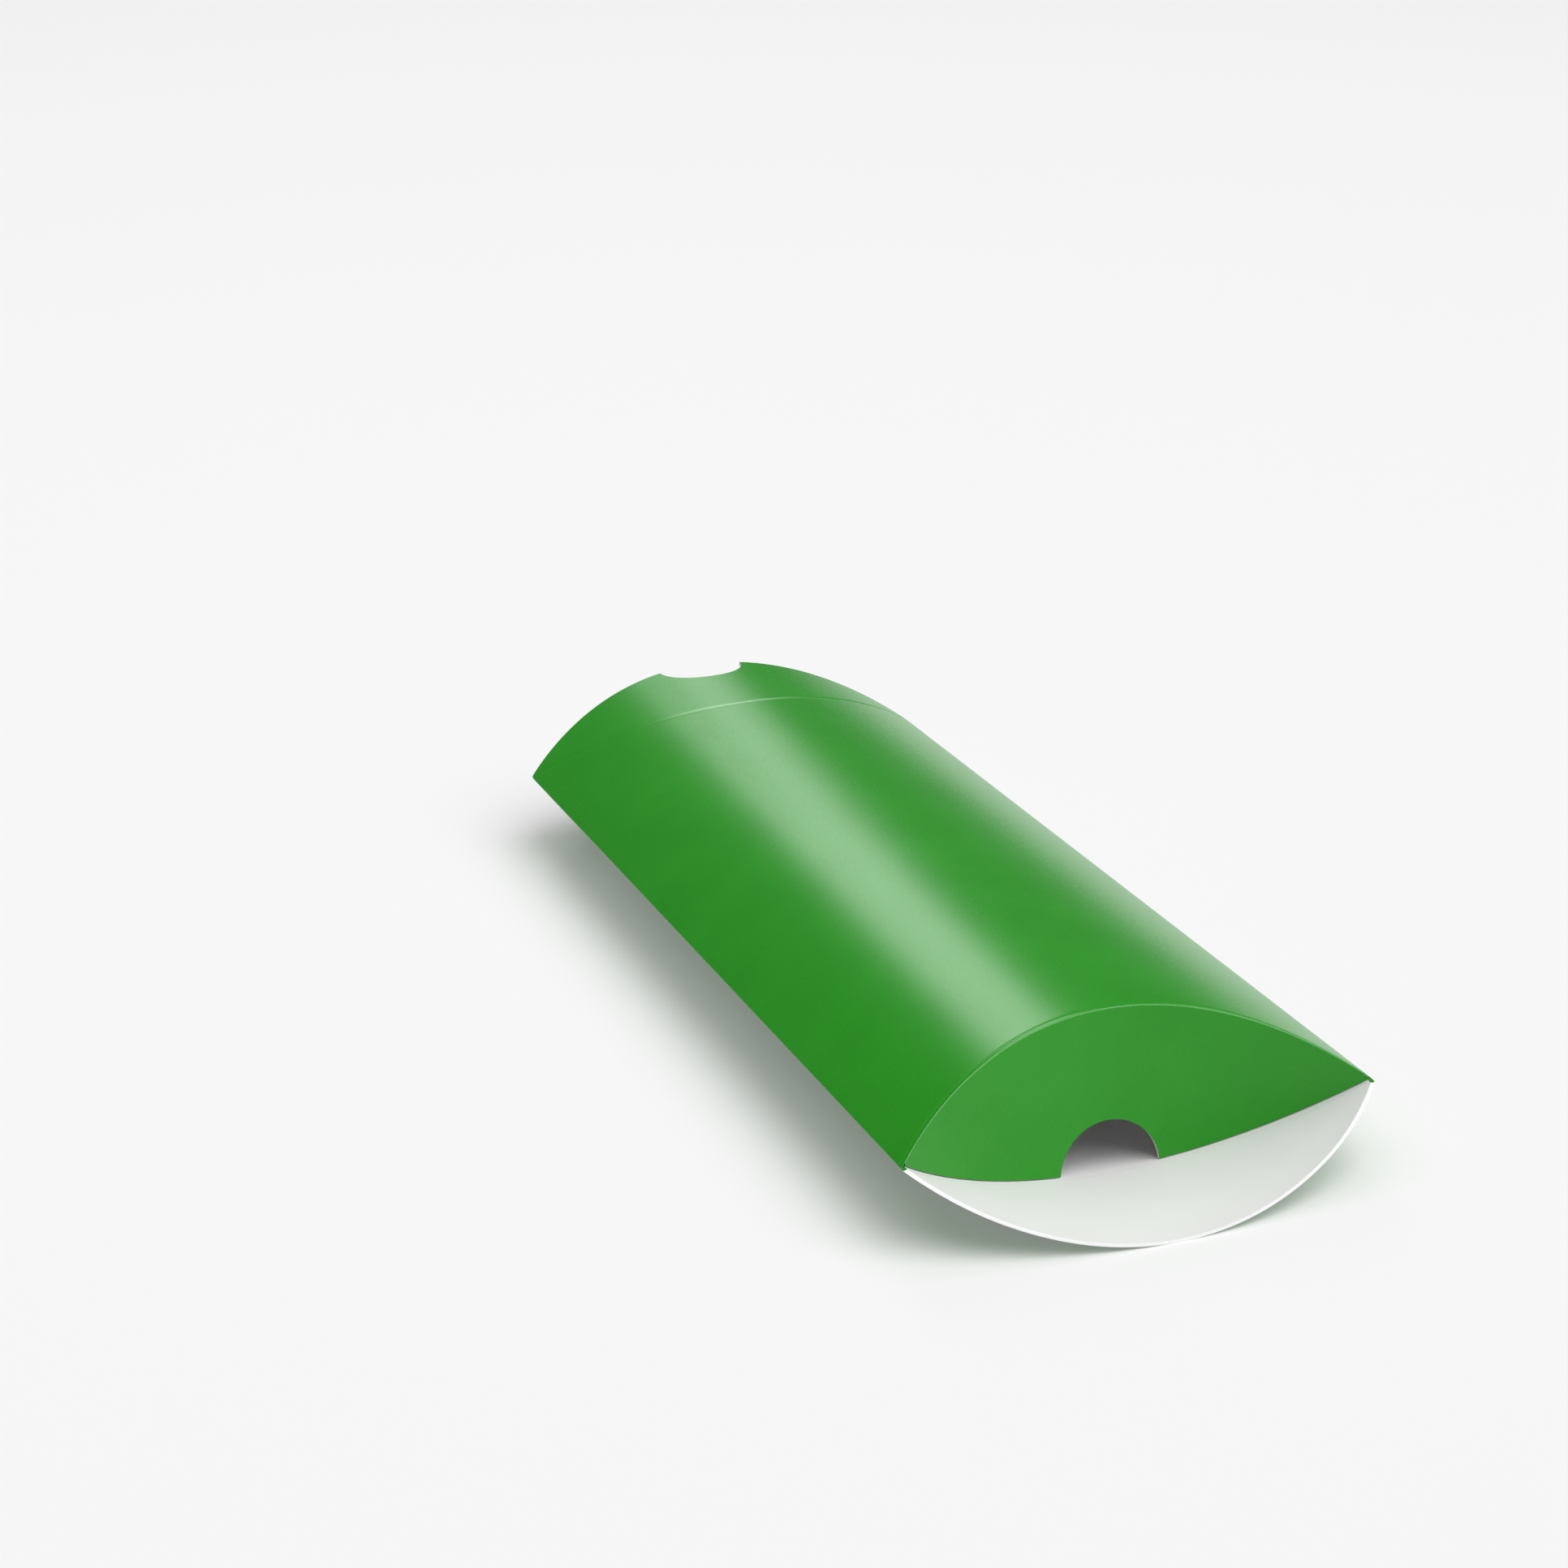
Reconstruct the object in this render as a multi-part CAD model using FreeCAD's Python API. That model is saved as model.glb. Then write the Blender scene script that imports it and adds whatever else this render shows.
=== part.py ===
"""A pillow box: a gift box die-cut from one sheet of board, folded at curved scores.

Two curved panels meet at their long edges and make a sleeve that is lens-shaped in section.
At each end a notched flap, on the upper panel, and a plain flap, on the lower panel, bend about a
curved score. A flap can't fold about such a score and stay stiff: it snaps from bulging outwards,
in line with its panel, to dished, tucked across the end. Each flap is therefore divided along its
straight lines into narrow leaves, hinged edge to edge, which bend together as the board does.

X runs across the box, Y along it and Z up. The origin is under the middle, where the belly rests.
"""
import FreeCAD, Part
import math
import os
from FreeCAD import Vector

# Driving dimensions, in millimetres and degrees
box_width = 80.0
box_length = 200.0
panel_rise = 14.0
board_thickness = 0.55
score_slope = 45.0
leaf_count = 9
notch_radius = 8.5
tab_width = 13.0
tab_taper = 10.0
glue_thickness = 0.1
glue_margin = 2.0

# Clearances
leaf_gap = 0.3
flap_gap_middle = 0.15
flap_gap_corner = 0.6
rim_gap_middle = 0.45
rim_gap_corner = 1.7
notched_edge_trim = 1.0
plain_edge_trim = 2.2
nest_clearance = 1.0
tab_end_clearance = 3.0
overrun = 5.0

# The arc of a panel's outer face, from the chord between the side folds and the rise over it
half_width = box_width / 2
arc_radius = (half_width ** 2 + panel_rise ** 2) / (2 * panel_rise)
arc_half_angle = math.asin(half_width / arc_radius)
axis_drop = arc_radius - panel_rise
leaf_angle = 2 * arc_half_angle / leaf_count

# A score lies in a plane through its two corners that leans in towards the crown
slope = math.radians(score_slope)
score_depth = panel_rise * math.tan(slope)
fold_plane_z = panel_rise

# The lower flaps tuck over the upper ones, so the lower panel's scores lie that much further out
lower_score_offset = board_thickness + nest_clearance
upper_corner_y = box_length / 2
lower_corner_y = upper_corner_y + lower_score_offset

across = Vector(1, 0, 0)
along = Vector(0, 1, 0)
up = Vector(0, 0, 1)


def arc_point(radius, angle, y):
    """A point at an angle from the crown on a circle about the upper panel's axis."""
    return Vector(radius * math.sin(angle), y, fold_plane_z - axis_drop + radius * math.cos(angle))


def curved_plate(inner_radius, outer_radius, from_angle, to_angle, from_y, to_y):
    """A plate bent to an arc about the upper panel's axis, straight along Y."""
    middle = (from_angle + to_angle) / 2
    outer = Part.Arc(*[arc_point(outer_radius, a, from_y) for a in (from_angle, middle, to_angle)])
    inner = Part.Arc(*[arc_point(inner_radius, a, from_y) for a in (to_angle, middle, from_angle)])
    sides = [
        Part.LineSegment(outer.EndPoint, inner.StartPoint),
        Part.LineSegment(inner.EndPoint, outer.StartPoint),
    ]
    outline = Part.Wire([curve.toShape() for curve in (outer, sides[0], inner, sides[1])])
    return Part.Face(outline).extrude(along * (to_y - from_y))


def slab(points_yz, half_span):
    """A prism along X from an outline of (y, z) points."""
    corners = [Vector(-half_span, y, z) for y, z in points_yz]
    return Part.Face(Part.makePolygon(corners + corners[:1])).extrude(across * (2 * half_span))


def elliptic_prism(centre, major_end, minor_end, direction):
    """A long prism of elliptic section, given by its centre and the ends of its two half axes."""
    face = Part.Face(Part.Wire(Part.Ellipse(major_end, minor_end, centre).toShape()))
    length = arc_radius + box_width
    face.translate(direction * -length)
    return face.extrude(direction * (2 * length))


def score_prism(corner_y, middle_gap, corner_gap):
    """The prism, square to the rear score's plane, whose edge is the score drawn back by a gap.

    The score is where the panel's cylinder meets the plane, an arc of an ellipse. The gap lies in
    the plane, towards the flap, and grows evenly from the crown to the corners.
    """
    plane_up = Vector(0, -math.sin(slope), math.cos(slope))
    plane_normal = Vector(0, math.cos(slope), math.sin(slope))
    corner = Vector(0, corner_y, fold_plane_z)
    reach = panel_rise / math.cos(slope)
    stretch = (reach - middle_gap + corner_gap) / reach
    centre = corner - plane_up * (stretch * axis_drop / math.cos(slope) + corner_gap)
    crown = centre + plane_up * (stretch * arc_radius / math.cos(slope))
    return elliptic_prism(centre, crown, centre + across * arc_radius, plane_normal)


def free_edge_prism(corner_y, trim):
    """The upright prism whose edge is a flap's free edge, the score's mirror image less a trim."""
    reach = math.tan(slope)
    centre = Vector(0, corner_y - axis_drop * reach - trim, fold_plane_z)
    ends = [centre + along * (arc_radius * reach), centre + across * arc_radius]
    ends.sort(key=lambda end: -end.distanceToPoint(centre))
    return elliptic_prism(centre, *ends, up)


def mirrored_ends(shape):
    """The same shape at the front end, from the one at the rear."""
    return shape.mirror(Vector(0, 0, 0), along)


def mirrored_panels(shape):
    """The same shape on the lower panel, from the one on the upper."""
    return shape.mirror(Vector(0, 0, fold_plane_z), up)


def make_panel(corner_y):
    """An upper panel: a curved plate that ends at a curved score at each end."""
    inner_radius = arc_radius - board_thickness
    spread = arc_half_angle + overrun / arc_radius
    half_length = corner_y + overrun
    plate = curved_plate(inner_radius, arc_radius, -spread, spread, -half_length, half_length)
    below = Part.makeBox(
        box_width + 2 * overrun,
        2 * (half_length + overrun),
        panel_rise,
        Vector(-half_width - overrun, -half_length - overrun, 0),
    )
    rear = score_prism(corner_y, -rim_gap_middle, -rim_gap_corner)
    return plate.cut(below).cut(rear).cut(mirrored_ends(rear))


def open_score_cut(corner_y):
    """What lies beyond the score's plane, drawn back by the flap's gap: an open flap's score end."""
    top = panel_rise + overrun
    run = (score_depth - flap_gap_middle + flap_gap_corner) / panel_rise
    end_y = corner_y + box_width
    return slab(
        [
            (corner_y + flap_gap_corner, fold_plane_z),
            (corner_y + flap_gap_corner - top * run, fold_plane_z + top),
            (end_y, fold_plane_z + top),
            (end_y, fold_plane_z),
        ],
        box_width,
    )


def thumb_notch(corner_y):
    """The half-round cut in the free edge of a notched flap."""
    centre = Vector(0, corner_y + score_depth - notched_edge_trim, fold_plane_z)
    return Part.makeCylinder(notch_radius, panel_rise + overrun, centre, up)


def make_leaves(corner_y, notched, tucked):
    """The leaves of a rear upper flap, left to right, open in line with the panel or tucked in.

    Tucked in, the outer face is the open one's mirror image in the score's plane, and the board's
    thickness lies on its inner side.
    """
    if tucked:
        radii = (arc_radius, arc_radius + board_thickness)
        score_cut = score_prism(corner_y, flap_gap_middle, flap_gap_corner)
    else:
        radii = (arc_radius - board_thickness, arc_radius)
        score_cut = open_score_cut(corner_y)
    trim = notched_edge_trim if notched else plain_edge_trim
    outline = score_cut.common(free_edge_prism(corner_y, trim))
    half_gap = leaf_gap / 2 / arc_radius
    leaves = []
    for number in range(leaf_count):
        left = -arc_half_angle + number * leaf_angle + half_gap
        right = left + leaf_angle - 2 * half_gap
        leaf = curved_plate(*radii, left, right, corner_y - box_width, corner_y + box_width)
        leaf = leaf.common(outline)
        if notched:
            leaf = leaf.cut(thumb_notch(corner_y))
        if tucked:
            plane_normal = Vector(0, math.cos(slope), math.sin(slope))
            leaf = leaf.mirror(Vector(0, corner_y, fold_plane_z), plane_normal)
        leaves.append(leaf)
    return leaves


def leaf_names(flap):
    """Leaf names from left to right: the middle one, and the others counted out from it."""
    per_side = leaf_count // 2
    left = [f"{flap}_left_{n}" for n in range(per_side, 0, -1)]
    right = [f"{flap}_right_{n}" for n in range(1, per_side + 1)]
    return left + [f"{flap}_middle"] + right


def make_seam(lower_panel):
    """The glue tab, which goes on from the lower panel inside the right edge, and its glue."""
    glue_outer = arc_radius - board_thickness
    tab_outer = glue_outer - glue_thickness
    tab_inner = tab_outer - board_thickness
    from_angle = arc_half_angle - tab_width / arc_radius
    half_length = upper_corner_y - score_depth - tab_end_clearance
    tab = curved_plate(tab_inner, tab_outer, from_angle, arc_half_angle, -half_length, half_length)
    taper_x = arc_radius * math.sin(from_angle)
    for side in (-1, 1):
        end = side * half_length
        corner = [
            Vector(taper_x, end - side * tab_taper, 0),
            Vector(half_width, end, 0),
            Vector(half_width, end + side * overrun, 0),
            Vector(taper_x - overrun, end + side * overrun, 0),
            Vector(taper_x - overrun, end - side * tab_taper, 0),
        ]
        outline = Part.makePolygon(corner + corner[:1])
        tab = tab.cut(Part.Face(outline).extrude(up * (fold_plane_z + panel_rise)))
    tab = max(tab.cut(lower_panel).Solids, key=lambda solid: solid.Volume)
    glue_to = arc_half_angle - 2 * glue_margin / arc_radius
    glue_from = from_angle + glue_margin / arc_radius
    glue_half = half_length - tab_taper
    glue = curved_plate(tab_outer, glue_outer, glue_from, glue_to, -glue_half, glue_half)
    return tab, glue


def build():
    """Every piece by its node's name."""
    upper_panel = make_panel(upper_corner_y)
    lower_panel = mirrored_panels(make_panel(lower_corner_y))
    glue_tab, glue_strip = make_seam(lower_panel)
    pieces = {
        "upper_panel": upper_panel,
        "lower_panel": lower_panel,
        "glue_tab": glue_tab,
        "glue_strip": glue_strip,
    }
    flaps = {
        "front_notched_flap": [mirrored_ends(leaf) for leaf in make_leaves(upper_corner_y, True, True)],
        "rear_notched_flap": make_leaves(upper_corner_y, True, False),
    }
    plain_leaves = [mirrored_panels(leaf) for leaf in make_leaves(lower_corner_y, False, False)]
    flaps["rear_plain_flap"] = plain_leaves
    flaps["front_plain_flap"] = [mirrored_ends(leaf) for leaf in plain_leaves]
    for flap, leaves in flaps.items():
        pieces.update(zip(leaf_names(flap), leaves))
    return pieces


def export(pieces):
    """Write one file for each piece."""
    os.makedirs("parts", exist_ok=True)
    for name, shape in pieces.items():
        shape.exportStep(os.path.join("parts", name + ".step"))


export(build())
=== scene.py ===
"""The pillow box for rendering: sheets of printed board bent over curved scores, in a plain studio.

Every face of the board is a function of two parameters. The first is the lean, the angle by which
the outer face's normal leans from upright across the box. The second runs along the box on a panel,
and from the score to the free edge on a flap. Lengths are in metres and angles in radians.
"""
import math
from collections import namedtuple

import bpy
import numpy as np
from mathutils import Matrix, Vector


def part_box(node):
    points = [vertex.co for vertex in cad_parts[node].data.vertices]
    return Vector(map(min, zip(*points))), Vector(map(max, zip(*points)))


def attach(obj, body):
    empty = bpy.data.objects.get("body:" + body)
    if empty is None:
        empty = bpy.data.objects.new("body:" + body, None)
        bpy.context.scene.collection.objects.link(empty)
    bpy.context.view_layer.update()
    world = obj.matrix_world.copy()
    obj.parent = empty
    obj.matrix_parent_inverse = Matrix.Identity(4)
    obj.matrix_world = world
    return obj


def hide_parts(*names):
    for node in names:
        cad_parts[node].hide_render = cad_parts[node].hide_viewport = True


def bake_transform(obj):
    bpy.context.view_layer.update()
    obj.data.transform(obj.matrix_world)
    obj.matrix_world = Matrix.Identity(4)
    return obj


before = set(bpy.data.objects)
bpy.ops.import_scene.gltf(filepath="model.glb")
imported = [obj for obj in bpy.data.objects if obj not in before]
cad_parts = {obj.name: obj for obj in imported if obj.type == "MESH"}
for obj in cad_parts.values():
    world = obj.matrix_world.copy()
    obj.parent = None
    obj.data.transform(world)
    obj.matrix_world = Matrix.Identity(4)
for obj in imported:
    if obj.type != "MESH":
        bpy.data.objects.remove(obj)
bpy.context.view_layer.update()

# The box, as in the solids
BOARD = 0.00055
BOX_LENGTH = 0.200
LOWER_SCORE_OFFSET = 0.00155
NOTCH_RADIUS = 0.0085
NOTCHED_TRIM = 0.0006
PLAIN_TRIM = 0.0022
TAB_WIDTH = 0.013
TAB_TAPER = 0.010
TAB_END_CLEARANCE = 0.003
GLUE_THICKNESS = 0.0001

# Creases and edges
SIDE_FOLD_RADIUS = 0.00022
INNER_NOSE_SHARE = 0.998
TUCK_FOLD_RADIUS = 0.00025
TUCK_SLANT = 0.033
CORNER_MERGE_HEIGHT = 0.008
SCORE_DEPTH = 0.00008
SCORE_HALF_WIDTH = 0.0004
FOLD_GROOVE_DEPTH = 0.00006
FOLD_GROOVE_PLACE = 0.0009
FOLD_GROOVE_HALF_WIDTH = 0.00035
INNER_SCORE_GAP = 0.00001
TUCK_CLEARANCE = 0.00005
TUCK_EDGE_GAP = 0.0002
# The open scores' pale line: partly cracked ink, partly a painted highlight centred near the crown
SCORE_CRACK_AND_HIGHLIGHT_WIDTH = 0.00045
SCORE_CRACK_AND_HIGHLIGHT_SHARE = 1.0
SCORE_HIGHLIGHT_LEAN = -0.02
SCORE_HIGHLIGHT_SPREAD = 0.15
FOLD_WEAR_WIDTH = 0.00013
FOLD_WEAR_SHARE = 0.15
EDGE_SOFTNESS = 0.7
TONGUE_COLUMNS = 2
TONGUE_WIDTH = 0.00016
TONGUE_SINK_SHARE = 0.03
TONGUE_LENGTH_SHARE = 0.994
MIDDLE_SHARE = 0.5

# Grid steps
PANEL_COLUMNS = 73
NOSE_COLUMNS = 8
STRIP_COLUMNS = 13
NOTCH_COLUMNS = 61
PANEL_HALF_ROWS = 30
CREASE_ROWS = 25
CREASE_SHARE = 0.02
FLAP_ROWS = 30
ROW_CROWDING = 3.0
SLOPE_STEP = 1e-5
LEAN_DIGITS = 7
SMALLEST_LENGTH = 1e-20

# Finishes: linear colours, the lowest and highest roughness, and the depth and strength of a relief
INK_DEEP = (0.016, 0.300, 0.008)
INK_PALE = (0.020, 0.326, 0.011)
# Pale colour of cracked ink at creases, also used for the painted highlight on the open scores
INK_CRACKED_AND_HIGHLIT = (0.55, 0.86, 0.54)
CRACK_AND_HIGHLIGHT_SHARES = (0.6, 1.0)
VARNISH_ROUGHNESS = (0.24, 0.28)
VARNISH_TINT = (0.75, 1.0, 0.71)
VARNISH_IOR = 1.5
VARNISH_RELIEF = (0.00002, 0.03)
BARE_LOW = (0.795, 0.785, 0.785)
BARE_HIGH = (0.825, 0.815, 0.815)
BARE_ROUGHNESS = (0.6, 0.75)
BARE_RELIEF = (0.00003, 0.25)
EDGE_LOW = (0.92, 0.92, 0.92)
EDGE_HIGH = (0.96, 0.96, 0.96)
EDGE_ROUGHNESS = (0.7, 0.85)
EDGE_RELIEF = (0.00003, 0.5)
BOARD_IOR = 1.4
GLUE_LOW = (0.80, 0.79, 0.73)
GLUE_HIGH = (0.88, 0.87, 0.82)
GLUE_ROUGHNESS = (0.3, 0.5)
GLUE_RELIEF = (0.00002, 0.3)

# Noise in the finishes, and the middle range of its values
FIBRES_PER_METRE = 4000.0
GLUE_GRAINS_PER_METRE = 900.0
CLOUDS_PER_METRE = 60.0
GRAIN_SCALE = (1.0, 0.3, 1.0)
FIBRE_DETAIL = 4.0
FIBRE_ROUGHNESS = 0.6
CLOUD_DETAIL = 2.0
NOISE_LOW = 0.3
NOISE_HIGH = 0.7

# The view, with the sensor and lens in millimetres
SENSOR_WIDTH = 36.0
LENS = 87.95
NEAREST_SEEN = 0.01
CAMERA_PLACE = (-0.22539, -0.59213, 0.2587)
CAMERA_FORWARD = (0.30715, 0.89337, -0.32796)
CAMERA_UP = (0.14401, 0.29701, 0.94395)

# The studio
FLOOR_REACH = 6.0
FLOOR_COLOUR = (0.91, 0.91, 0.91)
FLOOR_ROUGHNESS = 0.9
FLOOR_SPECULAR_LEVEL = 0.1
FLOOR_GLOW_SHARE = 0.22
FLOOR_GLOW = (0.93, 0.905, 0.93)
WORLD_COLOUR = (1.0, 1.0, 1.0)
WORLD_STRENGTH = 0.12
BACKDROP_STRENGTH = 0.88
UPRIGHT = (0.0, 0.0, 1.0)
KEY_STRENGTH = 2.05
KEY_SPREAD = math.radians(60)
KEY_PLACE = (0.0, 0.0, 1.0)
KEY_FORWARD = (-0.30, 0.48, -0.82)

# Lamps: along is the direction of the long side, size gives the long side first, and power is in watts.
# One that isn't mirrored doesn't show in the varnish
BOX_TOP = (0.0, 0.0, 0.028)
Softbox = namedtuple("Softbox", "place along size power target spread mirrored",
                     defaults=(BOX_TOP, math.pi, True))
SOFTBOXES = {
    "overhead": Softbox((0.0, 0.0, 1.7), (0.0, 1.0, 0.0), (2.4, 2.4), 16.0),
    "lower_strip": Softbox((0.759, 2.738, 0.991), (-0.466, -0.176, 0.867), (0.69, 0.26), 1.18),
    "upper_strip": Softbox((0.391, 2.485, 1.662), (-0.441, -0.443, 0.780), (0.89, 0.54), 5.7),
    "low_card": Softbox((1.2, 2.078, 0.062), (0.866, -0.5, 0.0), (0.58, 0.14), 0.12),
    "sleeve_fill": Softbox((0.0, 0.0, 0.016), (1.0, 0.0, 0.0), (0.02, 0.008), 0.0006,
                           target=(0.0, -0.1, 0.022), spread=math.radians(30), mirrored=False),
}

# Places of the materials in each sheet's list, and the sides of a sheet that are cut: first row,
# last column, last row and first column
PRINTED, BARE, CUT = range(3)
NONE_CUT = (False, False, False, False)
SEAM_CUT = (False, True, False, False)
FREE_EDGE_CUT = (False, False, True, False)
ALL_CUT = (True, True, True, True)

panel_low, panel_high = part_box("upper_panel")
HALF_WIDTH = panel_high[0]
FOLD_HEIGHT = panel_low[2]
RISE = panel_high[2] - panel_low[2]
CORNER = BOX_LENGTH / 2

# The panel's arc, and the small arc of a side fold that is tangent to it
ARC_RADIUS = (HALF_WIDTH ** 2 + RISE ** 2) / (2 * RISE)
AXIS_DROP = ARC_RADIUS - RISE
ARC_HALF_ANGLE = math.asin(HALF_WIDTH / ARC_RADIUS)
NOSE_LEAN = math.acos(AXIS_DROP / (ARC_RADIUS - SIDE_FOLD_RADIUS))
NOSE_X = (ARC_RADIUS - SIDE_FOLD_RADIUS) * math.sin(NOSE_LEAN)
QUARTER_TURN = math.pi / 2
INNER_RADIUS = ARC_RADIUS - BOARD
INNER_LEAN = math.acos(AXIS_DROP / INNER_RADIUS)
TUCK_HALF_WIDTH = INNER_RADIUS * math.sin(INNER_LEAN) - TUCK_CLEARANCE
TUCK_LEAN = math.asin(TUCK_HALF_WIDTH / ARC_RADIUS)
TUCK_INNER_LEAN = math.asin(TUCK_HALF_WIDTH / (ARC_RADIUS + BOARD))

# How far the middle of a rounded square fold lies inside each face, as a share of its radius
MITRE_SHARE = 1 - math.sqrt(0.5)

# end is +1 at the rear and -1 at the front, side is +1 on the upper panel and -1 on the lower
Flap = namedtuple("Flap", "end side trim notched tucked")
FLAPS = {
    "front_notched_flap": Flap(-1, 1, NOTCHED_TRIM, True, True),
    "front_plain_flap": Flap(-1, -1, PLAIN_TRIM, False, False),
    "rear_notched_flap": Flap(1, 1, NOTCHED_TRIM, True, False),
    "rear_plain_flap": Flap(1, -1, PLAIN_TRIM, False, False),
}


def points(x, y, z):
    """Coordinates as one array whose last axis is (x, y, z)."""
    return np.stack(np.broadcast_arrays(x, y, z), axis=-1)


def height_over(x, radius):
    """Height over the fold plane of a circle about the panel's axis: half its chord, less the drop."""
    return np.sqrt(np.clip(radius ** 2 - x ** 2, 0, None)) - AXIS_DROP


def arc_height(lean):
    """Height of a panel's outer face over the fold plane: radius times cosine, less the drop."""
    return ARC_RADIUS * np.cos(lean) - AXIS_DROP


def outer_section(lean):
    """(x, height) of the outer face: the panel's arc, then the side fold's arc, tangent to it."""
    on_nose = np.abs(lean) > NOSE_LEAN
    nose_x = np.sign(lean) * NOSE_X + SIDE_FOLD_RADIUS * np.sin(lean)
    x = np.where(on_nose, nose_x, ARC_RADIUS * np.sin(lean))
    height = np.where(on_nose, SIDE_FOLD_RADIUS * np.cos(lean), arc_height(lean))
    return x, height


def inner_section(lean):
    """(x, height) of the inner face: an arc one board smaller, that ends on the fold plane."""
    turning = INNER_LEAN * INNER_NOSE_SHARE
    outer_stops = [-QUARTER_TURN, -NOSE_LEAN, NOSE_LEAN, QUARTER_TURN]
    inner_stops = [-INNER_LEAN, -turning, turning, INNER_LEAN]
    inner_lean = np.interp(lean, outer_stops, inner_stops)
    return INNER_RADIUS * np.sin(inner_lean), INNER_RADIUS * np.cos(inner_lean) - AXIS_DROP


def score_place(side, height):
    """Distance of a score from the middle of the box: the corner's, less the panel's height there.

    The lower scores lie further out by an offset, which fades out towards the corners as a parabola,
    so that the panels and flaps meet there.
    """
    near = np.clip(height / CORNER_MERGE_HEIGHT, 0, 1)
    offset = 0 if side > 0 else LOWER_SCORE_OFFSET * (1 - (1 - near) ** 2)
    return CORNER + offset - height


def hollow(distance, place, half_width, depth):
    """Depth of a pressed line at a distance from the score: a bell curve about its place."""
    return depth * np.exp(-((distance - place) / half_width) ** 2)


def crease_wear_and_highlight(distance, lean, tucked):
    """How far the ink has cracked at a distance from a crease: a bell curve across it.

    A tucked fold is cracked evenly along it. On an open score the pale line is partly cracked ink
    and partly a painted highlight, so it is strongest near the crown, as another bell curve.
    """
    # Painted highlight: how strongly the score's pale line shows, highest near the crown
    painted_highlight_zone = np.exp(-((lean - SCORE_HIGHLIGHT_LEAN) / SCORE_HIGHLIGHT_SPREAD) ** 2)
    score_crack_and_highlight = SCORE_CRACK_AND_HIGHLIGHT_SHARE * painted_highlight_zone * np.exp(-(distance / SCORE_CRACK_AND_HIGHLIGHT_WIDTH) ** 2)
    on_fold = FOLD_WEAR_SHARE * np.exp(-(distance / FOLD_WEAR_WIDTH) ** 2)
    return np.where(tucked, on_fold, score_crack_and_highlight)


def fold_radius(height):
    """Outer radius of the tucked fold: its full value at the crown, nothing at the corners."""
    height = np.clip(height, 0, None)
    return TUCK_FOLD_RADIUS * height / (height + 2 * TUCK_FOLD_RADIUS)


def fold_fall(distance, radius):
    """How far a rounded square fold falls off near its corner: the radius less a half chord."""
    reach = np.clip(radius - distance, 0, None)
    return radius - np.sqrt(np.clip(radius ** 2 - reach ** 2, 0, None))


def panel_faces(side, tucked_front):
    """A panel's outer face, inner face and place on the flat blank, over lean and row from -1 to 1.

    A row is its share of the way from the middle to the score. At a tucked front the outer face
    rounds over to the mitre of the fold.
    """
    def outer(lean, row):
        x, height = outer_section(lean)
        at_tuck = tucked_front & (row < 0)
        radius = fold_radius(height)
        length = score_place(side, height)
        y = row * (length - np.where(at_tuck, MITRE_SHARE * radius, 0))
        distance = length - np.abs(y)
        groove = hollow(distance, FOLD_GROOVE_PLACE, FOLD_GROOVE_HALF_WIDTH, FOLD_GROOVE_DEPTH)
        sunk = np.where(at_tuck, groove, hollow(distance, 0, SCORE_HALF_WIDTH, SCORE_DEPTH))
        fall = np.where(at_tuck, fold_fall(distance, radius), 0)
        lowered = height - sunk * np.cos(lean) - fall
        return points(x - sunk * np.sin(lean), y, FOLD_HEIGHT + side * lowered)

    def inner(lean, row):
        x, height = inner_section(lean)
        over = height_over(x, ARC_RADIUS)
        gap = np.where(tucked_front & (row < 0), over - height, INNER_SCORE_GAP)
        return points(x, row * (score_place(side, over) - gap), FOLD_HEIGHT + side * height)

    def blank(lean, row):
        length = score_place(side, outer_section(lean)[1])
        wear_and_highlight = crease_wear_and_highlight(length * (1 - np.abs(row)), lean, tucked_front & (row < 0))
        return blank_u(side, lean), row * length, wear_and_highlight

    return outer, inner, blank


def blank_u(side, lean):
    """Place across the flat blank: the arc's length, carried on round the left fold below."""
    across = ARC_RADIUS * lean
    return across if side > 0 else -2 * ARC_RADIUS * NOSE_LEAN - across


def flap_reach(flap, lean):
    """How far a flap runs from its score: to the score's mirror image in the corners' line, less a
    trim, or to the lower panel where it is tucked in. The notch is a circle about the edge's middle.
    """
    height = arc_height(lean)
    x = ARC_RADIUS * np.sin(lean)
    if flap.tucked:
        reach = height + height_over(x, INNER_RADIUS) - TUCK_EDGE_GAP
        middle_reach = 2 * RISE - BOARD - TUCK_EDGE_GAP
    else:
        kept_share = 1 - flap.trim / (2 * RISE)
        reach = 2 * height * kept_share
        middle_reach = 2 * RISE * kept_share
    if not flap.notched:
        return reach
    half_chord = np.sqrt(np.clip(NOTCH_RADIUS ** 2 - x ** 2, 0, None))
    notch = middle_reach - RISE + height - half_chord
    return np.where(np.abs(x) < NOTCH_RADIUS, np.minimum(reach, notch), reach)


def open_flap_faces(flap):
    """An open flap's outer face, inner face and place on the blank, over lean and share of reach.

    The flap goes on from its panel, so each point lies its share of the reach past the score.
    """
    def outer(lean, share):
        height = arc_height(lean)
        run = share * flap_reach(flap, lean)
        sunk = hollow(run, 0, SCORE_HALF_WIDTH, SCORE_DEPTH)
        x = (ARC_RADIUS - sunk) * np.sin(lean)
        y = flap.end * (score_place(flap.side, height) + run)
        return points(x, y, FOLD_HEIGHT + flap.side * (height - sunk * np.cos(lean)))

    def inner(lean, share):
        x, height = inner_section(lean)
        score_y = score_place(flap.side, height_over(x, ARC_RADIUS)) + INNER_SCORE_GAP
        edge_y = score_place(flap.side, arc_height(lean)) + flap_reach(flap, lean)
        y = flap.end * (score_y + share * (edge_y - score_y))
        return points(x, y, FOLD_HEIGHT + flap.side * height)

    return outer, inner, flap_blank(flap)


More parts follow.
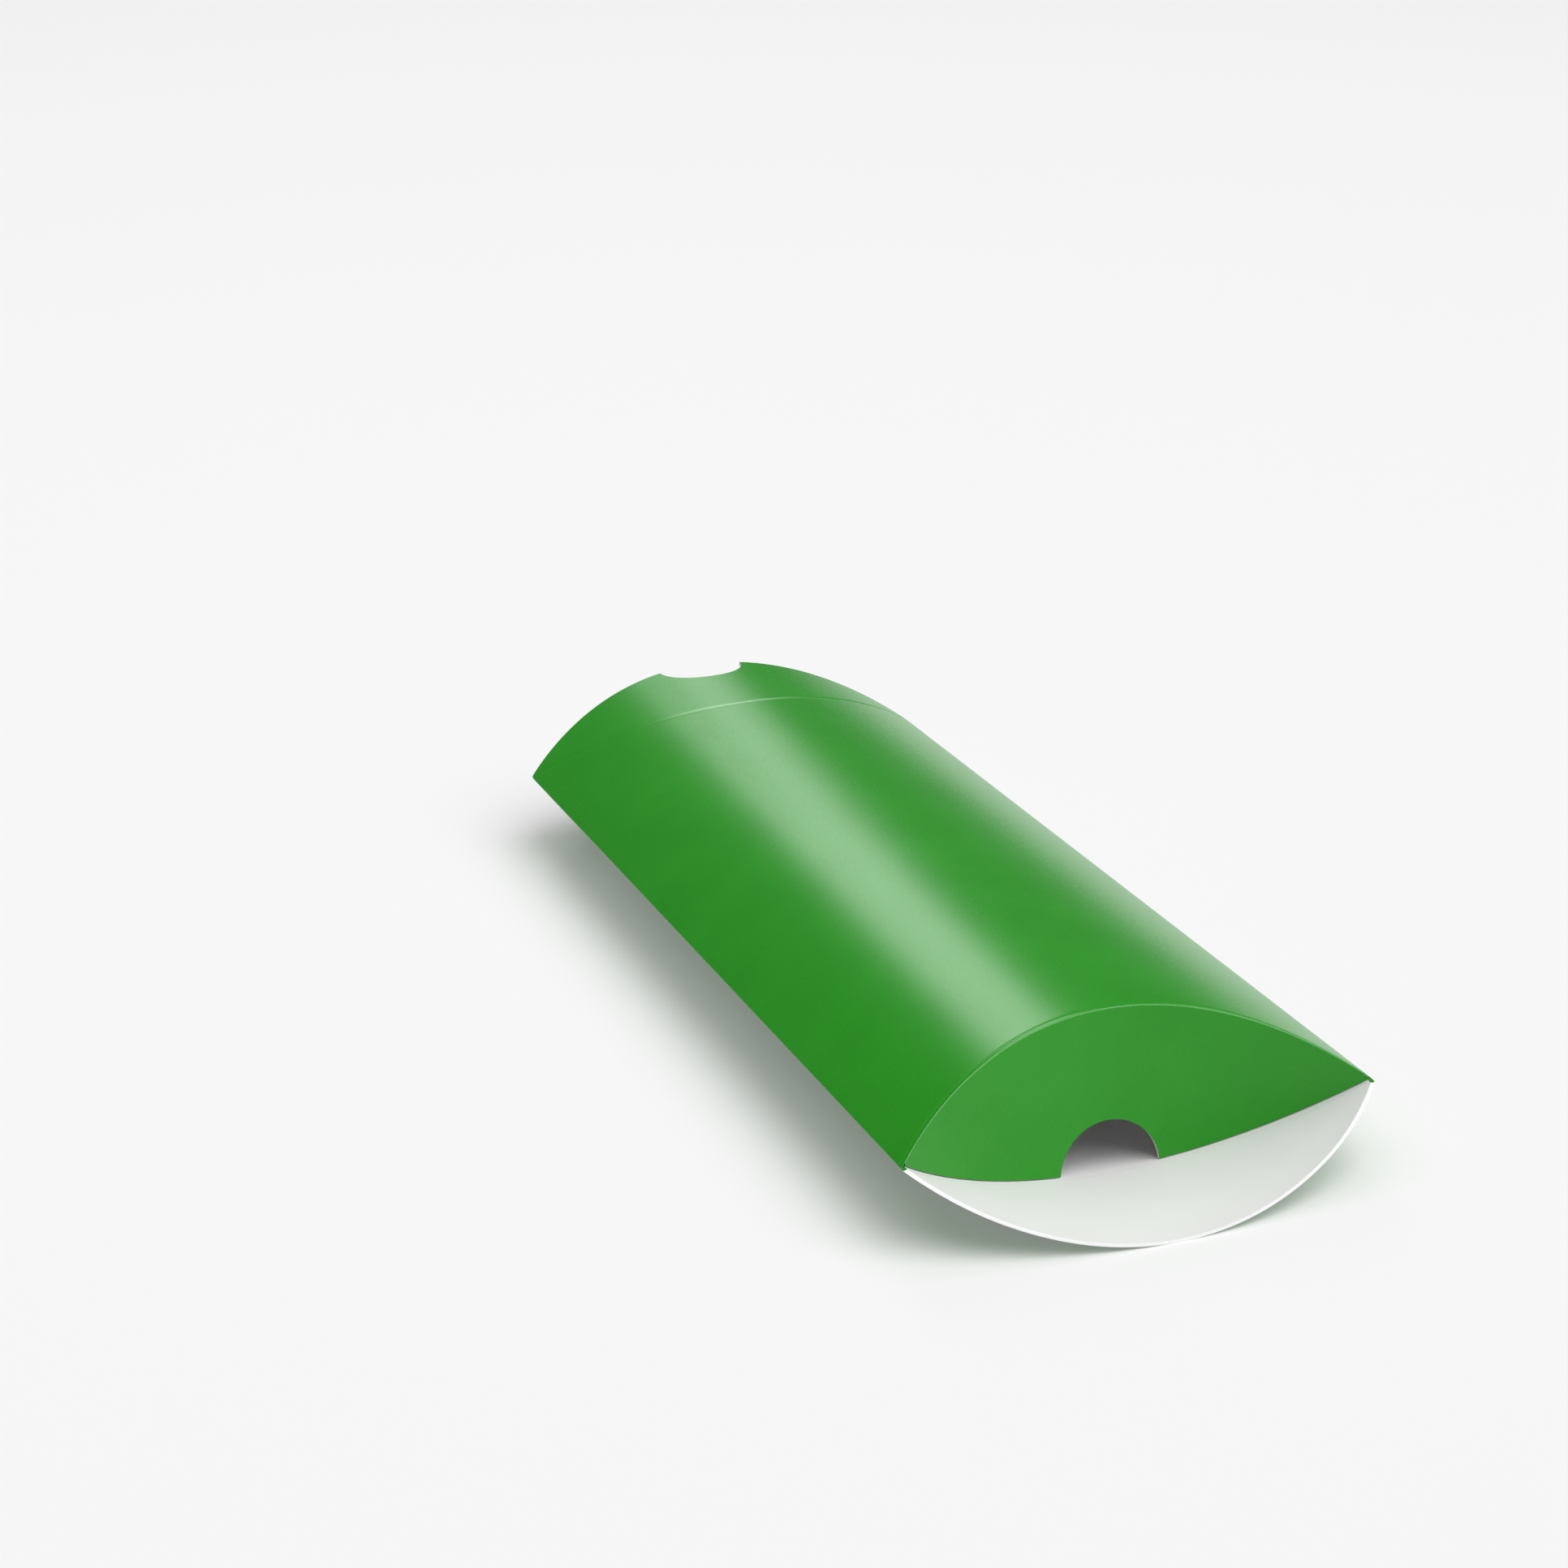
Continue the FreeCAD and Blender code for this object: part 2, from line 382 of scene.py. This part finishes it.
def tucked_flap_faces(flap):
    """A tucked flap's outer face, inner face and place on the blank, over lean and share of reach.

    The outer face is the open one's mirror image in the score's plane: each straight line turns
    down from the score. The inner face is an arc one board larger about the same upright axis.
    Both slant out by a share of the run past the fold, as the board springs back.
    """
    inner_share = TUCK_INNER_LEAN / TUCK_LEAN

    def slant(run):
        return TUCK_SLANT * np.clip(run - BOARD, 0, None)

    def outer(lean, share):
        height = arc_height(lean)
        radius = fold_radius(height)
        start = MITRE_SHARE * radius
        run = start + share * (flap_reach(flap, lean) - start)
        y = flap.end * (score_place(flap.side, height) - fold_fall(run, radius) + slant(run))
        return points(ARC_RADIUS * np.sin(lean), y, FOLD_HEIGHT + height - run)

    def inner(lean, share):
        radius = ARC_RADIUS + BOARD
        x = radius * np.sin(lean * inner_share)
        top = height_over(x, INNER_RADIUS)
        bottom = np.maximum(arc_height(lean) - flap_reach(flap, lean), TUCK_EDGE_GAP - top)
        height = top + share * (bottom - top)
        y = CORNER + AXIS_DROP - radius * np.cos(lean * inner_share) + slant(arc_height(lean) - height)
        return points(x, flap.end * y, FOLD_HEIGHT + height)

    return outer, inner, flap_blank(flap)


def flap_blank(flap):
    """A flap's place on the flat blank: past its score by its share of the reach."""
    def blank(lean, share):
        reach = flap_reach(flap, lean)
        y = flap.end * (score_place(flap.side, arc_height(lean)) + share * reach)
        return blank_u(flap.side, lean), y, crease_wear_and_highlight(share * reach, lean, flap.tucked)

    return blank


def tab_faces():
    """The glue tab's outer face, inner face and place on the blank, over lean and row from -1 to 1.

    Two arcs inside the upper panel. The ends slope in from the fold by the taper.
    """
    outer_radius = INNER_RADIUS - GLUE_THICKNESS
    half_length = CORNER - RISE - TAB_END_CLEARANCE
    from_lean = ARC_HALF_ANGLE - TAB_WIDTH / ARC_RADIUS

    def length_at(lean):
        return half_length - TAB_TAPER * (INNER_LEAN - lean) / (INNER_LEAN - from_lean)

    def face(radius):
        def place(lean, row):
            height = radius * np.cos(lean) - AXIS_DROP
            return points(radius * np.sin(lean), row * length_at(lean), FOLD_HEIGHT + height)
        return place

    def blank(lean, row):
        return blank_u(1, lean), row * length_at(lean), 0

    to_lean = math.acos(AXIS_DROP / (outer_radius - BOARD))
    return (face(outer_radius), face(outer_radius - BOARD), blank), (from_lean, to_lean)


def crowded(count):
    """Numbers from 0 to 1 that crowd towards 0: even steps raised to a power."""
    return np.linspace(0, 1, count) ** ROW_CROWDING


def mirrored_rows(half):
    """Rows from -1 to 1, out of the distances of one half of them from the end.

    They are the distances less one, and then one less the distances, in reverse.
    """
    return np.concatenate([half - 1, 1 - half[-2::-1]])


def face_normals(face, lean, row, towards):
    """Unit normals of a face: the cross product of its slopes along both parameters."""
    along_lean = face(lean + SLOPE_STEP, row) - face(lean - SLOPE_STEP, row)
    along_row = face(lean, row + SLOPE_STEP) - face(lean, row - SLOPE_STEP)
    normals = np.cross(along_lean, along_row)
    normals /= np.linalg.norm(normals, axis=-1, keepdims=True)
    facing = np.sign(np.sum(normals * towards, axis=-1, keepdims=True))
    return normals * np.where(facing == 0, 1, facing)


def grid_quads(rows, columns):
    """Corner numbers of a grid's quads, counted row by row."""
    corner = np.arange(rows * columns).reshape(rows, columns)
    quads = np.stack([corner[:-1, :-1], corner[:-1, 1:], corner[1:, 1:], corner[1:, :-1]], axis=-1)
    return quads.reshape(-1, 4)


def grid_rim(rows, columns):
    """Corner numbers round a grid's border, the way its quads turn."""
    corner = np.arange(rows * columns).reshape(rows, columns)
    return np.concatenate([corner[0, :-1], corner[:-1, -1], corner[-1, :0:-1], corner[:0:-1, 0]])


def wall_normals(walls, corners, normals, is_inner):
    """Unit normals at the corners of walls: the cross product of a wall's diagonals at the outer face,
    and at the inner one leant over towards that face's, as a cut edge is crushed from the printed side.
    """
    corner = corners[walls]
    square = np.cross(corner[:, 2] - corner[:, 0], corner[:, 3] - corner[:, 1])
    square /= np.maximum(np.linalg.norm(square, axis=-1, keepdims=True), SMALLEST_LENGTH)
    leant = square[:, None] + EDGE_SOFTNESS * is_inner[..., None] * normals[walls]
    return leant / np.linalg.norm(leant, axis=-1, keepdims=True)


def quad_mesh(name, corners, loops, face_materials):
    """A mesh of quads with the sheets' materials."""
    mesh = bpy.data.meshes.new(name)
    mesh.vertices.add(len(corners))
    mesh.vertices.foreach_set("co", corners.ravel())
    mesh.loops.add(loops.size)
    mesh.loops.foreach_set("vertex_index", loops.ravel())
    mesh.polygons.add(len(loops))
    mesh.polygons.foreach_set("loop_start", np.arange(len(loops)) * loops.shape[1])
    mesh.polygons.foreach_set("material_index", face_materials)
    mesh.update(calc_edges=True)
    for material in (printed_board, bare_board, cut_edge):
        mesh.materials.append(material)
    return mesh


def board_piece(name, faces, leans, rows, cut_sides, tongued=False):
    """A closed sheet of board: an outer and an inner grid, and a wall round their borders.

    Outer quads are printed and inner ones bare. The wall is printed too where the sheet goes on in
    another piece, and bare along its cut sides: of first row, last column, last row and first column.
    A tongue is the last columns, sunk into the board and drawn in at the ends, which lie inside the
    next piece. The shading normals are the faces' own, so that neighbouring pieces shade as one sheet.
    """
    outer_face, inner_face, blank = faces
    lean, row = np.meshgrid(leans, rows)
    tongue = np.s_[:, -TONGUE_COLUMNS:]
    if tongued:
        row[tongue] = MIDDLE_SHARE + TONGUE_LENGTH_SHARE * (row[tongue] - MIDDLE_SHARE)
    outer = outer_face(lean, row)
    inner = inner_face(lean, row)
    outward = outer - inner
    if tongued:
        outer[tongue] -= TONGUE_SINK_SHARE * outward[tongue]
        inner[tongue] += TONGUE_SINK_SHARE * outward[tongue]
    corners = np.concatenate([outer.reshape(-1, 3), inner.reshape(-1, 3)])

    count = lean.size
    quads = grid_quads(*lean.shape)
    rim = grid_rim(*lean.shape)
    after = np.roll(rim, -1)
    walls = np.stack([after, rim, rim + count, after + count], axis=-1)
    slopes = corners[quads[:, 1]] - corners[quads[:, 0]], corners[quads[:, 3]] - corners[quads[:, 0]]
    turned = np.sum(np.cross(*slopes) * outward.reshape(-1, 3)[quads[:, 0]]) < 0
    loops = np.concatenate([quads, quads[:, ::-1] + count, walls])
    if turned:
        loops = loops[:, ::-1]
    is_cut = np.repeat(cut_sides, np.tile(np.array(lean.shape[::-1]) - 1, 2))
    grid_materials = np.repeat([PRINTED, BARE], len(quads))
    face_materials = np.concatenate([grid_materials, np.where(is_cut, CUT, PRINTED)])

    outer_normals = face_normals(outer_face, lean, row, outward).reshape(-1, 3)
    inner_normals = face_normals(inner_face, lean, row, -outward).reshape(-1, 3)
    corner_normals = np.concatenate([outer_normals, inner_normals])
    normals = corner_normals[loops]
    walls = loops[2 * len(quads):]
    normals[2 * len(quads):] = wall_normals(walls, corners, corner_normals, walls >= count)

    # The blank's UV and the pale creases: cracked ink, and a painted highlight on the open scores
    u, v, wear_and_highlight = (part.ravel() for part in np.broadcast_arrays(*blank(lean, row)))
    layout = np.tile(np.stack([u, v], axis=-1), (2, 1))
    wear_and_highlight = np.concatenate([wear_and_highlight, np.zeros(count)])

    mesh = quad_mesh(name, corners, loops, face_materials)
    mesh.uv_layers.new(name="blank").data.foreach_set("uv", layout[loops].ravel())
    mesh.attributes.new("wear_and_highlight", "FLOAT", "POINT").data.foreach_set("value", wear_and_highlight)
    mesh.normals_split_custom_set(normals.reshape(-1, 3))
    piece = bpy.data.objects.new(name, mesh)
    bpy.context.collection.objects.link(piece)
    return piece


def new_group(name, inputs, outputs):
    """An empty shader node group with its sockets, and its input and output nodes."""
    group = bpy.data.node_groups.new(name, "ShaderNodeTree")
    for label, kind, value in inputs:
        socket = group.interface.new_socket(label, in_out="INPUT", socket_type=kind)
        if value is not None:
            socket.default_value = value
    for label, kind in outputs:
        group.interface.new_socket(label, in_out="OUTPUT", socket_type=kind)
    return group, group.nodes.new("NodeGroupInput"), group.nodes.new("NodeGroupOutput")


def fibre_group():
    """Board fibres: fine noise drawn out along the grain, and broad soft clouds of furnish."""
    group, given, result = new_group(
        "board_fibre",
        [
            ("Vector", "NodeSocketVector", None),
            ("Fibres per metre", "NodeSocketFloat", FIBRES_PER_METRE),
            ("Clouds per metre", "NodeSocketFloat", CLOUDS_PER_METRE),
        ],
        [("Fibre", "NodeSocketFloat"), ("Cloud", "NodeSocketFloat")],
    )
    grain = group.nodes.new("ShaderNodeMapping")
    grain.inputs["Scale"].default_value = GRAIN_SCALE
    fine = group.nodes.new("ShaderNodeTexNoise")
    fine.inputs["Detail"].default_value = FIBRE_DETAIL
    fine.inputs["Roughness"].default_value = FIBRE_ROUGHNESS
    broad = group.nodes.new("ShaderNodeTexNoise")
    broad.inputs["Detail"].default_value = CLOUD_DETAIL
    link = group.links.new
    link(given.outputs["Vector"], grain.inputs["Vector"])
    link(grain.outputs["Vector"], fine.inputs["Vector"])
    link(given.outputs["Vector"], broad.inputs["Vector"])
    link(given.outputs["Fibres per metre"], fine.inputs["Scale"])
    link(given.outputs["Clouds per metre"], broad.inputs["Scale"])
    link(fine.outputs["Fac"], result.inputs["Fibre"])
    link(broad.outputs["Fac"], result.inputs["Cloud"])
    return group


def new_material(name, on_blank=True):
    """A node material with its Principled shader and a fibre group.

    The fibres lie on the flat blank, by its UV map, or else in the object's own space.
    """
    material = bpy.data.materials.new(name)
    material.use_nodes = True
    nodes = material.node_tree.nodes
    if on_blank:
        layout = nodes.new("ShaderNodeUVMap")
        layout.uv_map = "blank"
        place = layout.outputs["UV"]
    else:
        place = nodes.new("ShaderNodeTexCoord").outputs["Object"]
    fibre = nodes.new("ShaderNodeGroup")
    fibre.node_tree = board_fibre
    material.node_tree.links.new(place, fibre.inputs["Vector"])
    return material, nodes["Principled BSDF"], fibre


def ramp_between(material, driver, low, high):
    """A colour that goes from one shade to another as a value goes through its middle range."""
    nodes = material.node_tree.nodes
    mix = nodes.new("ShaderNodeValToRGB")
    mix.color_ramp.elements[0].position = NOISE_LOW
    mix.color_ramp.elements[0].color = (*low, 1.0)
    mix.color_ramp.elements[1].position = NOISE_HIGH
    mix.color_ramp.elements[1].color = (*high, 1.0)
    material.node_tree.links.new(driver, mix.inputs["Fac"])
    return mix.outputs["Color"]


def span_between(material, driver, low, high):
    """A number that goes from low to high as a value goes through its middle range."""
    span = material.node_tree.nodes.new("ShaderNodeMapRange")
    span.inputs["From Min"].default_value = NOISE_LOW
    span.inputs["From Max"].default_value = NOISE_HIGH
    span.inputs["To Min"].default_value = low
    span.inputs["To Max"].default_value = high
    material.node_tree.links.new(driver, span.inputs["Value"])
    return span.outputs["Result"]


def add_bump(material, shader, height, relief):
    """Fine relief on the shader's normal, of a depth and a strength."""
    bump = material.node_tree.nodes.new("ShaderNodeBump")
    bump.inputs["Distance"].default_value, bump.inputs["Strength"].default_value = relief
    material.node_tree.links.new(height, bump.inputs["Height"])
    material.node_tree.links.new(bump.outputs["Normal"], shader.inputs["Normal"])


def make_printed_board():
    """Green ink under a satin varnish: faint clouds in the ink, paler where it cracks at creases, and a
    painted highlight along the open scores near the crown.
    """
    material, shader, fibre = new_material("printed_board")
    nodes = material.node_tree.nodes
    link = material.node_tree.links.new
    ink = ramp_between(material, fibre.outputs["Cloud"], INK_DEEP, INK_PALE)
    # The pale mark: cracked ink at creases, and a painted highlight on the open scores near the crown
    worn_and_highlit = nodes.new("ShaderNodeAttribute")
    worn_and_highlit.attribute_name = "wear_and_highlight"
    crack_and_highlight = nodes.new("ShaderNodeMath")
    crack_and_highlight.operation = "MULTIPLY"
    coat = nodes.new("ShaderNodeMix")
    coat.data_type = "RGBA"
    coat.inputs["B"].default_value = (*INK_CRACKED_AND_HIGHLIT, 1.0)
    link(worn_and_highlit.outputs["Fac"], crack_and_highlight.inputs[0])
    link(span_between(material, fibre.outputs["Fibre"], *CRACK_AND_HIGHLIGHT_SHARES), crack_and_highlight.inputs[1])
    link(crack_and_highlight.outputs["Value"], coat.inputs["Factor"])
    link(ink, coat.inputs["A"])
    link(coat.outputs["Result"], shader.inputs["Base Color"])
    link(span_between(material, fibre.outputs["Fibre"], *VARNISH_ROUGHNESS), shader.inputs["Roughness"])
    shader.inputs["IOR"].default_value = VARNISH_IOR
    shader.inputs["Specular Tint"].default_value = (*VARNISH_TINT, 1.0)
    add_bump(material, shader, fibre.outputs["Fibre"], VARNISH_RELIEF)
    return material


def make_bare_board(name, low, high, roughness, relief):
    """Uncoated board: off-white clouds, fibres in the relief and a matt face."""
    material, shader, fibre = new_material(name)
    link = material.node_tree.links.new
    link(ramp_between(material, fibre.outputs["Cloud"], low, high), shader.inputs["Base Color"])
    link(span_between(material, fibre.outputs["Fibre"], *roughness), shader.inputs["Roughness"])
    shader.inputs["IOR"].default_value = BOARD_IOR
    add_bump(material, shader, fibre.outputs["Fibre"], relief)
    return material


def make_glue():
    """Dried white glue: slightly uneven, with a soft shine."""
    material, shader, fibre = new_material("dried_glue", on_blank=False)
    link = material.node_tree.links.new
    fibre.inputs["Fibres per metre"].default_value = GLUE_GRAINS_PER_METRE
    shade = ramp_between(material, fibre.outputs["Cloud"], GLUE_LOW, GLUE_HIGH)
    link(shade, shader.inputs["Base Color"])
    link(span_between(material, fibre.outputs["Fibre"], *GLUE_ROUGHNESS), shader.inputs["Roughness"])
    add_bump(material, shader, fibre.outputs["Fibre"], GLUE_RELIEF)
    return material


def make_panels():
    """The upper panel, which ends at the seam in a cut edge, and the lower, folded at both sides."""
    middle = np.linspace(-NOSE_LEAN, NOSE_LEAN, PANEL_COLUMNS)
    nose = np.linspace(NOSE_LEAN, QUARTER_TURN, NOSE_COLUMNS)[1:]
    beyond = CREASE_SHARE + (1 - CREASE_SHARE) * crowded(PANEL_HALF_ROWS)
    half = np.concatenate([np.linspace(0, CREASE_SHARE, CREASE_ROWS), beyond[1:]])
    rows = mirrored_rows(half)
    upper_leans = np.concatenate([-nose[::-1], middle[middle < INNER_LEAN], [INNER_LEAN]])
    lower_leans = np.concatenate([-nose[::-1], middle, nose])
    upper = board_piece("upper_panel_board", panel_faces(1, True), upper_leans, rows, SEAM_CUT)
    lower = board_piece("lower_panel_board", panel_faces(-1, False), lower_leans, rows, NONE_CUT)
    for piece, node in ((upper, "upper_panel"), (lower, "lower_panel")):
        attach(piece, "sleeve")
        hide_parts(node)


def make_seam():
    """The glue tab inside the right fold, and the glue on it."""
    faces, (from_lean, to_lean) = tab_faces()
    rows = mirrored_rows(crowded(STRIP_COLUMNS))
    leans = np.linspace(from_lean, to_lean, STRIP_COLUMNS)
    tab = board_piece("glue_tab_board", faces, leans, rows, ALL_CUT)
    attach(tab, "sleeve")
    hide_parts("glue_tab")
    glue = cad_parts["glue_strip"]
    glue.data.materials.clear()
    glue.data.materials.append(dried_glue)


def leaf_row(name):
    """The names of a flap's leaves from left to right."""
    per_side = sum(node.startswith(name + "_left_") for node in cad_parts)
    left = [f"{name}_left_{number}" for number in range(per_side, 0, -1)]
    right = [f"{name}_right_{number}" for number in range(1, per_side + 1)]
    return left + [name + "_middle"] + right


def make_flap(name, flap):
    """A flap in strips: each runs between the middles of two leaves, whose solids it hides, the outer
    ones to the tips.
    """
    leaves = leaf_row(name)
    leaf_angle = 2 * ARC_HALF_ANGLE / len(leaves)
    middles = (np.arange(len(leaves)) - (len(leaves) - 1) / 2) * leaf_angle
    tip = TUCK_LEAN if flap.tucked else NOSE_LEAN
    bounds = np.concatenate([[-tip], middles[1:-1], [tip]])
    faces = tucked_flap_faces(flap) if flap.tucked else open_flap_faces(flap)
    notch_turns = np.linspace(-QUARTER_TURN, QUARTER_TURN, NOTCH_COLUMNS)
    notch_leans = np.arcsin(NOTCH_RADIUS * np.sin(notch_turns) / ARC_RADIUS)
    for number, (start, end) in enumerate(zip(bounds[:-1], bounds[1:])):
        leans = np.linspace(start, end, STRIP_COLUMNS)
        if flap.notched:
            inside = notch_leans[(notch_leans > start) & (notch_leans < end)]
            leans = np.unique(np.round(np.concatenate([leans, inside]), LEAN_DIGITS))
        tongued = end < tip
        if tongued:
            leans = np.concatenate([leans, [end, end + TONGUE_WIDTH / ARC_RADIUS]])
        label = f"{name}_strip_{number + 1}"
        strip = board_piece(label, faces, leans, crowded(FLAP_ROWS), FREE_EDGE_CUT, tongued)
        pair = leaves[number:number + 2]
        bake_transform(strip)
        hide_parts(*pair)


def aim(thing, place, forward, up):
    """Stand a camera or lamp at a place, with its -Z along forward and its Y towards up."""
    ahead = Vector(forward).normalized()
    right = ahead.cross(Vector(up)).normalized()
    above = right.cross(ahead)
    turn = Matrix((right, above, -ahead)).transposed().to_4x4()
    thing.matrix_world = Matrix.Translation(place) @ turn


def add_camera():
    """The photograph's view: the place, aim and lens that bring the box's corners onto its own."""
    camera = bpy.data.objects.new("camera", bpy.data.cameras.new("camera"))
    bpy.context.collection.objects.link(camera)
    camera.data.sensor_width = SENSOR_WIDTH
    camera.data.lens = LENS
    camera.data.clip_start = NEAREST_SEEN
    aim(camera, CAMERA_PLACE, CAMERA_FORWARD, CAMERA_UP)
    bpy.context.scene.camera = camera


def add_softbox(name, box):
    """A rectangular lamp at a place that faces a target, with its long side along a direction."""
    lamp = bpy.data.lights.new(name, "AREA")
    lamp.shape = "RECTANGLE"
    lamp.size_y, lamp.size = box.size
    lamp.energy = box.power
    lamp.spread = box.spread
    softbox = bpy.data.objects.new(name, lamp)
    bpy.context.collection.objects.link(softbox)
    softbox.visible_camera = False
    softbox.visible_glossy = box.mirrored
    aim(softbox, box.place, Vector(box.target) - Vector(box.place), box.along)


def add_floor():
    """A pale paper floor.

    A share of it glows, for the camera and in reflections, at about the level of the lit paper, which
    makes the shadows on it lighter. The glow has slightly less green, because the board throws green
    into its own shadow.
    """
    floor_mesh = bpy.data.meshes.new("floor")
    signs = ((-1, -1), (1, -1), (1, 1), (-1, 1))
    corners = [(across * FLOOR_REACH, along * FLOOR_REACH, 0.0) for across, along in signs]
    floor_mesh.from_pydata(corners, [], [(0, 1, 2, 3)])
    paper = bpy.data.materials.new("floor_paper")
    paper.use_nodes = True
    nodes = paper.node_tree.nodes
    link = paper.node_tree.links.new
    shader = nodes["Principled BSDF"]
    shader.inputs["Base Color"].default_value = (*FLOOR_COLOUR, 1.0)
    shader.inputs["Roughness"].default_value = FLOOR_ROUGHNESS
    shader.inputs["Specular IOR Level"].default_value = FLOOR_SPECULAR_LEVEL
    glow = nodes.new("ShaderNodeEmission")
    glow.inputs["Color"].default_value = (*FLOOR_GLOW, 1.0)
    path = nodes.new("ShaderNodeLightPath")
    seen = nodes.new("ShaderNodeMath")
    seen.operation = "ADD"
    seen_share = nodes.new("ShaderNodeMath")
    seen_share.operation = "MULTIPLY"
    seen_share.inputs[1].default_value = FLOOR_GLOW_SHARE
    surface = nodes.new("ShaderNodeMixShader")
    link(path.outputs["Is Camera Ray"], seen.inputs[0])
    link(path.outputs["Is Glossy Ray"], seen.inputs[1])
    link(seen.outputs["Value"], seen_share.inputs[0])
    link(seen_share.outputs["Value"], surface.inputs["Fac"])
    link(shader.outputs["BSDF"], surface.inputs[1])
    link(glow.outputs["Emission"], surface.inputs[2])
    link(surface.outputs["Shader"], nodes["Material Output"].inputs["Surface"])
    floor_mesh.materials.append(paper)
    floor = bpy.data.objects.new("floor", floor_mesh)
    bpy.context.collection.objects.link(floor)


def add_world():
    """Even light from all round, with a pale backdrop where the camera looks past the floor."""
    world = bpy.data.worlds.new("studio")
    world.use_nodes = True
    background = world.node_tree.nodes["Background"]
    background.inputs["Color"].default_value = (*WORLD_COLOUR, 1.0)
    path = world.node_tree.nodes.new("ShaderNodeLightPath")
    strength = world.node_tree.nodes.new("ShaderNodeMapRange")
    strength.inputs["To Min"].default_value = WORLD_STRENGTH
    strength.inputs["To Max"].default_value = BACKDROP_STRENGTH
    world.node_tree.links.new(path.outputs["Is Camera Ray"], strength.inputs["Value"])
    world.node_tree.links.new(strength.outputs["Result"], background.inputs["Strength"])
    bpy.context.scene.world = world


def add_lamps():
    """A broad key and the softboxes.

    They are an overhead, two strips and a card behind for the gloss, and a weak one in the sleeve that
    lights its inside.
    """
    key = bpy.data.lights.new("key", "SUN")
    key.energy = KEY_STRENGTH
    key.angle = KEY_SPREAD
    sun = bpy.data.objects.new("key", key)
    bpy.context.collection.objects.link(sun)
    aim(sun, KEY_PLACE, KEY_FORWARD, UPRIGHT)
    for name, box in SOFTBOXES.items():
        add_softbox(name, box)


board_fibre = fibre_group()
printed_board = make_printed_board()
bare_board = make_bare_board("bare_board", BARE_LOW, BARE_HIGH, BARE_ROUGHNESS, BARE_RELIEF)
cut_edge = make_bare_board("cut_edge", EDGE_LOW, EDGE_HIGH, EDGE_ROUGHNESS, EDGE_RELIEF)
dried_glue = make_glue()

make_panels()
make_seam()
for flap_name, flap_shape in FLAPS.items():
    make_flap(flap_name, flap_shape)
add_camera()
add_floor()
add_world()
add_lamps()
bpy.context.scene.view_settings.view_transform = "Standard"
